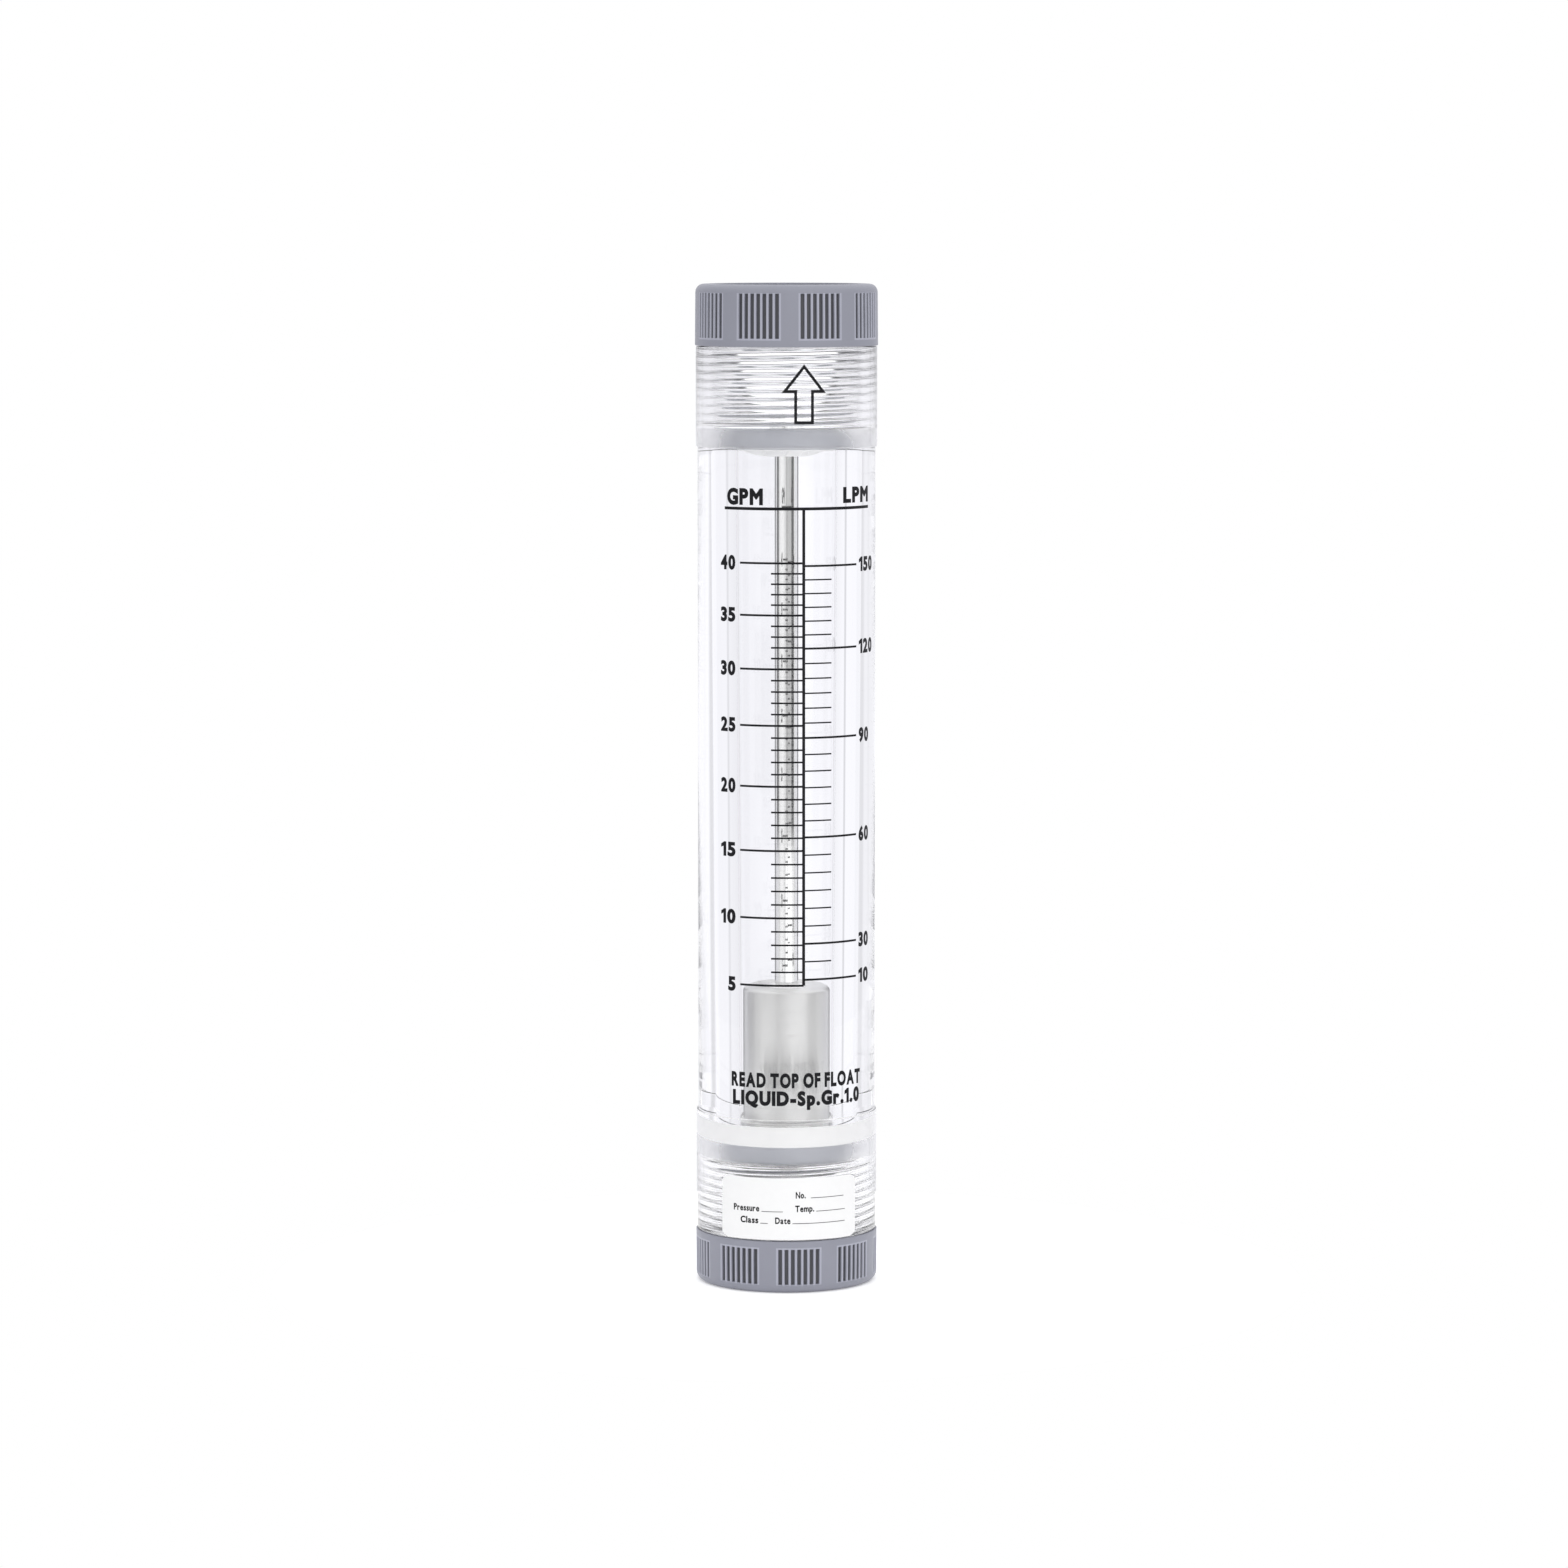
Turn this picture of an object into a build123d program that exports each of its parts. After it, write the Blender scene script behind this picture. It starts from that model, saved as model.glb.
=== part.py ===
from build123d import *
import math
import os

# In-line variable area flow meter: a clear tapered metering tube with a pipe
# thread in each end, a knurled cap on each end, and a steel float that rides
# up a central rod. Millimetres, +Z up along the flow, origin at the centre of
# the lower cap's face. The printed scale faces -Y.

# Overall
overall_length = 290.0

# Parallel pipe thread in both ends of the tube, size 1 1/4
thread_major_radius = 20.955
thread_pitch = 2.309
thread_depth_per_pitch = 0.640327
thread_lead_chamfer = 1.5
thread_length = 27.0
lower_port_depth = 33.4
upper_port_depth = 38.0

# End caps
cap_collar_step = 0.2
lower_cap_height = 15.2
upper_cap_height = 17.7
cap_draft_deg = 0.5
cap_flange = 2.2
cap_end_round = 2.4
cap_edge_round = 0.3
cap_mouth_clearance = 0.6
cap_fit = 0.05

# Grip on the caps: groups of upright grooves with a smooth flat between them
groove_groups = 9
grooves_per_group = 7
groove_pitch_deg = 4.0
groove_width = 1.0
groove_depth = 0.7
groove_end_land = 2.45
lower_grip_turn_deg = -93.0
upper_grip_turn_deg = -79.0

# Rubber in the caps
port_gasket_thickness = 1.2
port_gasket_inset = 0.3
cap_ring_section = 1.4
cap_ring_fit = 0.03

# Metering tube
port_wall = 5.245
spigot_step = 2.5
body_step = 0.5
collar_round = 0.4
collar_gap = 0.2
lower_collar_top = 50.4
upper_collar_drop = 46.8
bore_radius_bottom = 13.75
bore_radius_top = 14.65

# Rod guides, one moulding used at both ends
guide_thickness = 4.8
guide_seat_step = 0.2
guide_fit = 0.12
guide_hub_radius = 6.4
guide_rim_inner_radius = 13.6
guide_spokes = 3
guide_spoke_width = 3.6
guide_recess_depth = 0.8
guide_window_round = 1.0
guide_edge_chamfer = 0.4

# Stops
lower_stop_height = 5.8
lower_stop_inner_radius = 11.6
lower_stop_lead = 1.6
upper_stop_radius = 14.3
upper_stop_rim = 0.6
upper_stop_height = 2.4
stop_rod_fit = 0.1

# Guide rod and its fastenings
rod_radius = 3.5
stud_radius = 2.5
stud_hole_fit = 0.1
stud_chamfer = 0.5
stud_spare = 1.2
washer_thickness = 1.0
washer_radius = 5.0
nut_height = 4.0
nut_across_flats = 8.0
nut_chamfer = 0.45

# Float
float_radius = 12.7
float_length = 38.5
float_top_round = 0.7
float_bottom_chamfer = 0.8
float_bore_clearance = 1.2
float_rest_gap = 0.2
bush_wall = 2.0
bush_length = 6.0
bush_running_fit = 0.08
bush_float_fit = 0.05

# Data label on the lower collar, left blank
label_width = 38.4
label_height = 18.0
label_corner_round = 2.0
label_thickness = 0.15
label_cap_gap = 0.5
label_fit = 0.06
label_turn_deg = -9.0

# Worked out from the sizes above
thread_minor_radius = thread_major_radius - thread_depth_per_pitch * thread_pitch
cap_mouth_radius = thread_major_radius + cap_mouth_clearance
collar_radius = thread_major_radius + port_wall
spigot_radius = collar_radius - spigot_step
body_radius = collar_radius - body_step
cap_radius = collar_radius + cap_collar_step
cap_bore_radius = spigot_radius + cap_fit
cap_ring_groove_radius = cap_bore_radius + cap_ring_section
tube_end = cap_flange + port_gasket_thickness
lower_collar_start = lower_cap_height + collar_gap
guide_seat_radius = thread_minor_radius - guide_seat_step
guide_radius = guide_seat_radius - guide_fit
lower_guide_level = tube_end + lower_port_depth
upper_guide_level = tube_end + upper_port_depth
lower_stop_level = lower_guide_level + guide_thickness
lower_shoulder = lower_stop_level + lower_stop_height
upper_shoulder = overall_length - upper_guide_level - guide_thickness
float_base = lower_shoulder + float_rest_gap
float_top = float_base + float_length
float_bore_radius = rod_radius + float_bore_clearance
bush_inner_radius = rod_radius + bush_running_fit
bush_outer_radius = rod_radius + bush_wall
bush_seat_radius = bush_outer_radius + bush_float_fit
stud_hole_radius = stud_radius + stud_hole_fit

# Both ends are built alike, inwards from the end's own face. In a profile
# plane x is the radius and y is the height above that face.
END = {
    "lower": Plane.XY,
    "upper": Plane(origin=(0, 0, overall_length), x_dir=(1, 0, 0), z_dir=(0, 0, -1)),
}
PROFILE = {
    "lower": Plane.XZ,
    "upper": Plane(origin=(0, 0, overall_length), x_dir=(1, 0, 0), z_dir=(0, 1, 0)),
}
GUIDE_LEVEL = {"lower": lower_guide_level, "upper": upper_guide_level}
CAP_HEIGHT = {"lower": lower_cap_height, "upper": upper_cap_height}


def ring_part(profile_plane, points):
    """Revolve a closed outline of (radius, height) points about the flow axis."""
    with BuildPart() as ring:
        with BuildSketch(profile_plane):
            with BuildLine():
                Polyline(*points, close=True)
            make_face()
        revolve(axis=Axis.Z)
    return ring


def flow_windows(inner_radius, outer_radius):
    """The open sectors between the spokes, centred on the flow axis."""
    with BuildSketch() as windows:
        Circle(outer_radius)
        Circle(inner_radius, mode=Mode.SUBTRACT)
        with PolarLocations(0, guide_spokes, start_angle=90):
            Rectangle(
                outer_radius * 2,
                guide_spoke_width,
                align=(Align.MIN, Align.CENTER),
                mode=Mode.SUBTRACT,
            )
        fillet(windows.vertices(), radius=guide_window_round)
    return windows.sketch


def knurled_cap(end, grip_turn_deg):
    """End cap: a ring over the tube's spigot with a flange across the tube's end."""
    height = CAP_HEIGHT[end]
    draft = height * math.tan(math.radians(cap_draft_deg))
    closed_radius = cap_radius - draft
    groove_radius = cap_radius - draft / 2 - groove_depth
    with BuildPart(END[end]) as cap:
        with BuildSketch(PROFILE[end]) as section:
            with BuildLine():
                Polyline(
                    (cap_mouth_radius, 0),
                    (closed_radius, 0),
                    (cap_radius, height),
                    (cap_ring_groove_radius, height),
                    (cap_ring_groove_radius, height - cap_ring_section),
                    (cap_bore_radius, height - cap_ring_section),
                    (cap_bore_radius, cap_flange),
                    (cap_mouth_radius, cap_flange),
                    close=True,
                )
            make_face()
            corners = section.vertices()
            fillet(corners.sort_by_distance((closed_radius, 0))[0], radius=cap_end_round)
            fillet(corners.sort_by_distance((cap_radius, height))[0], radius=cap_edge_round)
        revolve(axis=Axis.Z)
        group_step = 360 / groove_groups
        middle = (grooves_per_group - 1) / 2
        turns = [
            grip_turn_deg + group * group_step + (groove - middle) * groove_pitch_deg
            for group in range(groove_groups)
            for groove in range(grooves_per_group)
        ]
        with Locations(*[Location((0, 0, height / 2), (0, 0, turn)) for turn in turns]):
            with Locations((groove_radius, 0, 0)):
                Box(
                    groove_depth * 3,
                    groove_width,
                    height - groove_end_land * 2,
                    align=(Align.MIN, Align.CENTER, Align.CENTER),
                    mode=Mode.SUBTRACT,
                )
    return cap


def rod_guide(end):
    """Spider plate: a rim that fills the port, a hub on the rod, and spokes between."""
    level = GUIDE_LEVEL[end]
    rim_recess_radius = guide_rim_inner_radius + guide_window_round
    with BuildPart(END[end]) as guide:
        with BuildSketch(PROFILE[end]) as section:
            with BuildLine():
                Polyline(
                    (stud_hole_radius, level),
                    (guide_hub_radius, level),
                    (guide_hub_radius, level + guide_recess_depth),
                    (rim_recess_radius, level + guide_recess_depth),
                    (rim_recess_radius, level),
                    (guide_radius, level),
                    (guide_radius, level + guide_thickness),
                    (stud_hole_radius, level + guide_thickness),
                    close=True,
                )
            make_face()
            corners = section.vertices()
            for height in (level, level + guide_thickness):
                edge = corners.sort_by_distance((guide_radius, height))[0]
                chamfer(edge, length=guide_edge_chamfer)
        revolve(axis=Axis.Z)
        with BuildSketch(END[end].offset(level)):
            add(flow_windows(guide_hub_radius, guide_rim_inner_radius))
        extrude(amount=guide_thickness, mode=Mode.SUBTRACT)
    return guide


def cap_ring(end):
    """Round rubber ring in the cap's groove, against the tube's collar."""
    section_radius = cap_ring_section / 2 - cap_ring_fit
    with BuildPart() as ring:
        with BuildSketch(PROFILE[end]):
            with Locations((cap_bore_radius + cap_ring_section / 2, CAP_HEIGHT[end] - cap_ring_section / 2)):
                Circle(section_radius)
        revolve(axis=Axis.Z)
    return ring


def port_gasket(end):
    """Flat rubber washer between the cap's flange and the end of the tube."""
    inner = cap_mouth_radius + port_gasket_inset
    outer = spigot_radius - port_gasket_inset
    return ring_part(
        PROFILE[end],
        [(inner, cap_flange), (outer, cap_flange), (outer, tube_end), (inner, tube_end)],
    )


def rod_washer(end):
    """Plain washer on the port side of a guide's hub."""
    top = GUIDE_LEVEL[end]
    bottom = top - washer_thickness
    return ring_part(
        PROFILE[end],
        [(stud_hole_radius, bottom), (washer_radius, bottom), (washer_radius, top), (stud_hole_radius, top)],
    )


def rod_nut(end):
    """Hexagon nut with both faces chamfered, on the rod's stud."""
    top = GUIDE_LEVEL[end] - washer_thickness
    corner_radius = nut_across_flats / math.sqrt(3)
    with BuildPart() as nut:
        with BuildSketch(END[end].offset(top - nut_height)):
            RegularPolygon(nut_across_flats / 2, 6, major_radius=False)
            Circle(stud_hole_radius, mode=Mode.SUBTRACT)
        extrude(amount=nut_height)
        with BuildSketch(PROFILE[end]) as section:
            with BuildLine():
                Polyline(
                    (0, top - nut_height),
                    (corner_radius, top - nut_height),
                    (corner_radius, top),
                    (0, top),
                    close=True,
                )
            make_face()
            corners = section.vertices()
            for height in (top - nut_height, top):
                edge = corners.sort_by_distance((corner_radius, height))[0]
                chamfer(edge, length=nut_chamfer)
        revolve(axis=Axis.Z, mode=Mode.INTERSECT)
    return nut


def float_bush(level):
    """Plain bearing ring between the float and the rod, from this height up."""
    return ring_part(
        Plane.XZ,
        [
            (bush_inner_radius, level),
            (bush_outer_radius, level),
            (bush_outer_radius, level + bush_length),
            (bush_inner_radius, level + bush_length),
        ],
    )


# Metering tube: one piece of clear acrylic, turned and polished
tube_top = overall_length - tube_end
upper_collar_bottom = overall_length - upper_collar_drop
upper_collar_top = overall_length - upper_cap_height - collar_gap
mouth_radius = thread_minor_radius + thread_lead_chamfer
with BuildPart() as metering_tube:
    with BuildSketch(Plane.XZ) as tube_section:
        with BuildLine():
            Polyline(
                (mouth_radius, tube_end),
                (spigot_radius, tube_end),
                (spigot_radius, lower_collar_start),
                (collar_radius, lower_collar_start),
                (collar_radius, lower_collar_top),
                (body_radius, lower_collar_top),
                (body_radius, upper_collar_bottom),
                (collar_radius, upper_collar_bottom),
                (collar_radius, upper_collar_top),
                (spigot_radius, upper_collar_top),
                (spigot_radius, tube_top),
                (mouth_radius, tube_top),
                (thread_minor_radius, tube_top - thread_lead_chamfer),
                (thread_minor_radius, tube_top - thread_length),
                (guide_seat_radius, tube_top - thread_length),
                (guide_seat_radius, upper_shoulder),
                (bore_radius_top, upper_shoulder),
                (bore_radius_bottom, lower_shoulder),
                (guide_seat_radius, lower_shoulder),
                (guide_seat_radius, tube_end + thread_length),
                (thread_minor_radius, tube_end + thread_length),
                (thread_minor_radius, tube_end + thread_lead_chamfer),
                close=True,
            )
        make_face()
        for collar_corner in (
            (collar_radius, lower_collar_start),
            (collar_radius, lower_collar_top),
            (collar_radius, upper_collar_bottom),
            (collar_radius, upper_collar_top),
        ):
            fillet(tube_section.vertices().sort_by_distance(collar_corner)[0], radius=collar_round)
    revolve(axis=Axis.Z)

# Caps, guides and the rubber and fastenings that go with them
lower_cap = knurled_cap("lower", lower_grip_turn_deg)
upper_cap = knurled_cap("upper", -upper_grip_turn_deg)
lower_guide = rod_guide("lower")
upper_guide = rod_guide("upper")
lower_cap_ring = cap_ring("lower")
upper_cap_ring = cap_ring("upper")
lower_port_gasket = port_gasket("lower")
upper_port_gasket = port_gasket("upper")
lower_rod_washer = rod_washer("lower")
upper_rod_washer = rod_washer("upper")
lower_rod_nut = rod_nut("lower")
upper_rod_nut = rod_nut("upper")

# Lower stop: the ring that the float rests on, clamped under the tube's shoulder
lower_stop = ring_part(
    Plane.XZ,
    [
        (lower_stop_inner_radius + lower_stop_lead, lower_stop_level),
        (guide_radius, lower_stop_level),
        (guide_radius, lower_shoulder),
        (lower_stop_inner_radius, lower_shoulder),
        (lower_stop_inner_radius, lower_stop_level + lower_stop_lead),
    ],
)

# Upper stop: a shallow dome under the upper guide, open where the guide is open
stop_rod_radius = rod_radius + stop_rod_fit
with BuildPart() as upper_stop:
    with BuildSketch(Plane.XZ):
        with BuildLine():
            rim = (upper_stop_radius, upper_shoulder - upper_stop_rim)
            hub = (stop_rod_radius, upper_shoulder - upper_stop_height)
            Polyline(hub, (stop_rod_radius, upper_shoulder), (upper_stop_radius, upper_shoulder), rim)
            TangentArc(hub, rim, tangent=(1, 0))
        make_face()
    revolve(axis=Axis.Z)
    with BuildSketch(END["upper"].offset(overall_length - upper_shoulder)):
        add(flow_windows(guide_hub_radius, guide_rim_inner_radius))
    extrude(amount=upper_stop_height, mode=Mode.SUBTRACT)

# Guide rod: polished bar, turned down to a stud at each end
stud_reach = washer_thickness + nut_height + stud_spare
lower_stud_end = lower_guide_level - stud_reach
upper_stud_end = overall_length - upper_guide_level + stud_reach
guide_rod = ring_part(
    Plane.XZ,
    [
        (0, lower_stud_end),
        (stud_radius - stud_chamfer, lower_stud_end),
        (stud_radius, lower_stud_end + stud_chamfer),
        (stud_radius, lower_stop_level),
        (rod_radius, lower_stop_level),
        (rod_radius, upper_shoulder),
        (stud_radius, upper_shoulder),
        (stud_radius, upper_stud_end - stud_chamfer),
        (stud_radius - stud_chamfer, upper_stud_end),
        (0, upper_stud_end),
    ],
)

# Float: turned steel plug, bored clear of the rod between its two bushes
with BuildPart() as meter_float:
    with BuildSketch(Plane.XZ) as float_section:
        with BuildLine():
            Polyline(
                (bush_seat_radius, float_base),
                (float_radius, float_base),
                (float_radius, float_top),
                (bush_seat_radius, float_top),
                (bush_seat_radius, float_top - bush_length),
                (float_bore_radius, float_top - bush_length),
                (float_bore_radius, float_base + bush_length),
                (bush_seat_radius, float_base + bush_length),
                close=True,
            )
        make_face()
        float_corners = float_section.vertices()
        fillet(float_corners.sort_by_distance((float_radius, float_top))[0], radius=float_top_round)
        chamfer(float_corners.sort_by_distance((float_radius, float_base))[0], length=float_bottom_chamfer)
    revolve(axis=Axis.Z)
lower_float_bush = float_bush(float_base)
upper_float_bush = float_bush(float_top - bush_length)

# Data label: a thin sheet wrapped on the front of the lower collar
label_base = lower_cap_height + label_cap_gap
label_inner_radius = collar_radius + label_fit
with BuildPart() as data_label:
    with BuildSketch(Plane.XZ):
        with Locations((0, label_base + label_height / 2)):
            RectangleRounded(label_width, label_height, label_corner_round)
    extrude(amount=collar_radius * 2)
    with BuildSketch(Plane.XY.offset(label_base)):
        Circle(label_inner_radius + label_thickness)
        Circle(label_inner_radius, mode=Mode.SUBTRACT)
    extrude(amount=label_height, mode=Mode.INTERSECT)
turned_label = data_label.part.rotate(Axis.Z, label_turn_deg)

pieces = {
    "metering_tube": metering_tube.part,
    "lower_cap": lower_cap.part,
    "upper_cap": upper_cap.part,
    "lower_cap_ring": lower_cap_ring.part,
    "upper_cap_ring": upper_cap_ring.part,
    "lower_port_gasket": lower_port_gasket.part,
    "upper_port_gasket": upper_port_gasket.part,
    "lower_guide": lower_guide.part,
    "upper_guide": upper_guide.part,
    "lower_stop": lower_stop.part,
    "upper_stop": upper_stop.part,
    "guide_rod": guide_rod.part,
    "lower_rod_washer": lower_rod_washer.part,
    "upper_rod_washer": upper_rod_washer.part,
    "lower_rod_nut": lower_rod_nut.part,
    "upper_rod_nut": upper_rod_nut.part,
    "float": meter_float.part,
    "lower_float_bush": lower_float_bush.part,
    "upper_float_bush": upper_float_bush.part,
    "data_label": turned_label,
}

os.makedirs("parts", exist_ok=True)
for name, piece in pieces.items():
    piece.label = name
    export_step(piece, f"parts/{name}.step")
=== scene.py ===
"""Looks of a clear in-line flow meter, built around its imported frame."""

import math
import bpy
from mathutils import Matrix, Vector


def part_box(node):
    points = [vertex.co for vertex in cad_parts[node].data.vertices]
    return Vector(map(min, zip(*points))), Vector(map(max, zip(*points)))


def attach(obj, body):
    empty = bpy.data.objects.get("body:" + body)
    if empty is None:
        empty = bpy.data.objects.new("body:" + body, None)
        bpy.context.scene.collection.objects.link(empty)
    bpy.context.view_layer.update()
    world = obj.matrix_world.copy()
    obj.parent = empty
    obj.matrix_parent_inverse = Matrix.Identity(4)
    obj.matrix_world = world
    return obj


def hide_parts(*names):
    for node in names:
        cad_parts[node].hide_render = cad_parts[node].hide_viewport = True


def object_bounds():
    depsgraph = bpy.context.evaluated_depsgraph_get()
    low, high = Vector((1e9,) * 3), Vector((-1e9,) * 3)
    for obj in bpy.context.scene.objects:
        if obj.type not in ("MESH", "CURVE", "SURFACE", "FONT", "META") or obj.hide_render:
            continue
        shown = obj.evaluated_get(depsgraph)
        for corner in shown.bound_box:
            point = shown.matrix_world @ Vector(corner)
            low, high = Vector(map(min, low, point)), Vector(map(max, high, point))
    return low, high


bl_info = {
    "name": "Clear flow meter",
    "version": (1, 0, 0),
    "blender": (4, 5, 0),
    "location": "3D View > Sidebar > Flow meter",
    "description": "Threaded clear tube, printed scale, moulded caps, turned float and ground rod",
    "category": "Add Mesh",
}

import bmesh
import bpy
import numpy as np
from bpy.props import FloatProperty, FloatVectorProperty, IntProperty, PointerProperty
from mathutils import Vector

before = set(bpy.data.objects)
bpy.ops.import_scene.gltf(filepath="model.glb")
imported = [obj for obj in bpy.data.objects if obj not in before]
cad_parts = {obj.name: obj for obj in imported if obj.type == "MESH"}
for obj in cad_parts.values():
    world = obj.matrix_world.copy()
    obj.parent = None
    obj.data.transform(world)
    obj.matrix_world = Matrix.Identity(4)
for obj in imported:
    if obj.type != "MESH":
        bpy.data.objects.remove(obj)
cad_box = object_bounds()

MM = 0.001
TAU = 2 * math.pi
FRONT = -math.pi / 2


def extent(node):
    """Lowest height, highest height and widest radius of a CAD node, in millimetres."""
    low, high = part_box(node)
    return low.z / MM, high.z / MM, high.x / MM


OVERALL = extent("upper_cap")[1]
CAP_HEIGHT = {"lower": extent("lower_cap")[1], "upper": OVERALL - extent("upper_cap")[0]}
TUBE_LOW, TUBE_HIGH, COLLAR_RADIUS = extent("metering_tube")
LOWER_GUIDE_LOW, LOWER_GUIDE_HIGH, GUIDE_RADIUS = extent("lower_guide")
UPPER_GUIDE_LOW, UPPER_GUIDE_HIGH, _ = extent("upper_guide")
LOWER_SHOULDER = extent("lower_stop")[1]
FLOAT_LOW, FLOAT_HIGH, FLOAT_RADIUS = extent("float")
ROD_LOW, ROD_HIGH, ROD_RADIUS = extent("guide_rod")


# Settings that a user would change


def setting(name, default, description, unit="NONE"):
    """A number that a user may change, a size in millimetres unless its description says otherwise."""
    return FloatProperty(name=name, description=description, default=default, unit=unit)


def amount(name, default, description):
    """A whole number that a user may change."""
    return IntProperty(name=name, description=description, default=default)


def colour(name, default):
    """A colour that a user may change."""
    return FloatVectorProperty(name=name, description="Colour", subtype="COLOR", default=default)


class TubeSettings(bpy.types.PropertyGroup):
    """Sizes of the clear tube, in millimetres."""

    body_step: setting("Body step", 0.5, "Collar radius less body radius")
    spigot_step: setting("Spigot step", 2.5, "Collar radius less spigot radius")
    collar_gap: setting("Collar gap", 0.2, "From the cap's edge to the collar")
    lower_collar_top: setting("Lower collar top", 50.4, "Height of its upper edge")
    upper_collar_drop: setting("Upper collar drop", 46.8, "From the top cap's face to its lower edge")
    bore_bottom: setting("Bore at the bottom", 13.75, "Radius where the taper starts")
    bore_top: setting("Bore at the top", 14.65, "Radius where the taper ends")
    thread_root: setting("Thread root", 20.955, "Major radius of the pipe thread")
    thread_crest: setting("Thread crest", 19.476, "Minor radius of the pipe thread")
    seat_gap: setting("Seat gap", 0.05, "Air between the seats and the guides")
    ring_bite: setting("Ring bite", 0.02, "Of the lower stop, a press fit, in its seat")
    shoulder_gap: setting("Shoulder gap", 0.03, "Air between a shoulder and its piece")
    thread_pitch: setting("Thread pitch", 2.309, "Eleven turns to the inch")
    thread_full: setting("Full thread", 27.0, "Length at the full minor radius")
    thread_end_gap: setting("Run-out gap", 0.3, "From the last turn to the guide")
    mouth_chamfer: setting("Mouth chamfer", 1.5, "Lead-in of the thread")
    columns: amount("Columns", 160, "Faces round the tube")
    rows_per_turn: amount("Rows per turn", 16, "Rows of faces in one thread turn")


class CapSettings(bpy.types.PropertyGroup):
    """Sizes of the end caps, in millimetres."""

    radius: setting("Radius", 26.4, "At the open end")
    draft: setting("Draft", 0.5, "Taper towards the closed end, in degrees")
    mouth: setting("Mouth", 21.555, "Radius of the opening")
    bore: setting("Bore", 23.75, "Radius over the tube's spigot")
    flange: setting("Flange", 2.2, "Thickness across the tube's end")
    ring_groove: setting("Ring groove", 1.4, "Width and depth of the rubber's groove")
    end_round: setting("End round", 2.4, "Corner at the closed end")
    edge_round: setting("Edge round", 0.3, "Corner at the open end")
    groups: amount("Groups", 9, "Groups of grip grooves")
    grooves: amount("Grooves", 7, "Grooves in each group")
    groove_pitch: setting("Groove pitch", 4.0, "Degrees from groove to groove")
    groove_width: setting("Groove width", 1.0, "Width at mid depth")
    groove_depth: setting("Groove depth", 0.7, "Below the grip's surface")
    groove_land: setting("Groove land", 2.45, "From a cap's edge to its grooves")
    groove_edge: setting("Groove edge", 0.3, "Width of the rounded edge")
    # The rim is a band of painted highlight round a group of grooves
    grip_rim: setting("Grip rim", 0.3, "Paler rim round a group of grooves")
    lower_turn: setting("Lower turn", -93.0, "Degrees to a group's middle")
    upper_turn: setting("Upper turn", -79.0, "Degrees to a group's middle")


class PrintSettings(bpy.types.PropertyGroup):
    """Sizes of the printed scale, in millimetres; widths run round the tube from its centre line."""

    ink: setting("Ink", 0.03, "Thickness of the ink")
    line: setting("Line", 0.6, "Width of the scale's lines")
    left_fine: setting("Left fine line", 0.5, "Width of the short lines, left")
    right_fine: setting("Right fine line", 0.42, "Width of the short lines, right")
    heavy_line: setting("Heavy line", 0.85, "Width of the header and centre line")
    header_height: setting("Header height", 226.4, "Height of the header line")
    header_half: setting("Header half width", 24.4, "Reach of the header line")
    left_major: setting("Left major", 18.9, "Reach of the long lines, left")
    left_minor: setting("Left minor", 9.4, "Reach of the short lines, left")
    right_major: setting("Right major", 18.0, "Reach of the long lines, right")
    right_minor: setting("Right minor", 8.5, "Reach of the short lines, right")
    left_gap: setting("Left gap", 1.6, "From a long line to its figures, left")
    right_gap: setting("Right gap", 1.2, "From a long line to its figures, right")
    figure_height: setting("Figure height", 4.2, "Height of the figures")
    figure_width: setting("Figure width", 2.75, "Width of one figure")
    letter_weight: setting("Letter weight", 0.055, "Added all round, as a share of the size")
    label_face: setting("Label face", 0.215, "From the collar to the label's face")
    label_turn: setting("Label turn", -9.0, "Degrees from the front to the label's middle")
    label_text: setting("Label text", 1.9, "Height of its capitals")
    label_rule: setting("Label rule", 0.16, "Width of its blank lines")
    label_weight: setting("Label weight", 0.6, "Share of the letter weight that its words take")
    arrow_base: setting("Arrow base", 250.5, "Height of the flow arrow's foot")
    arrow_height: setting("Arrow height", 17.0, "From its foot to its tip")
    arrow_width: setting("Arrow width", 13.0, "Across its head")
    arrow_neck: setting("Arrow neck", 0.52, "Share of its height below the head")
    arrow_shaft: setting("Arrow shaft", 0.44, "Share of its width that the shaft takes")


class FinishSettings(bpy.types.PropertyGroup):
    """Colours of the finishes."""

    acrylic: colour("Acrylic", (0.99, 0.99, 0.995))
    abs_grey: colour("Cap plastic", (0.225, 0.23, 0.275))
    guide_grey: colour("Guide plastic", (0.53, 0.545, 0.60))
    nylon: colour("Nylon", (0.96, 0.96, 0.965))
    rubber: colour("Rubber", (0.02, 0.02, 0.022))
    ground: colour("Ground steel", (0.84, 0.84, 0.84))
    turned: colour("Turned steel", (0.73, 0.73, 0.725))
    film: colour("Label film", (0.75, 0.75, 0.755))
    ink: colour("Ink", (0.008, 0.008, 0.01))


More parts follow.
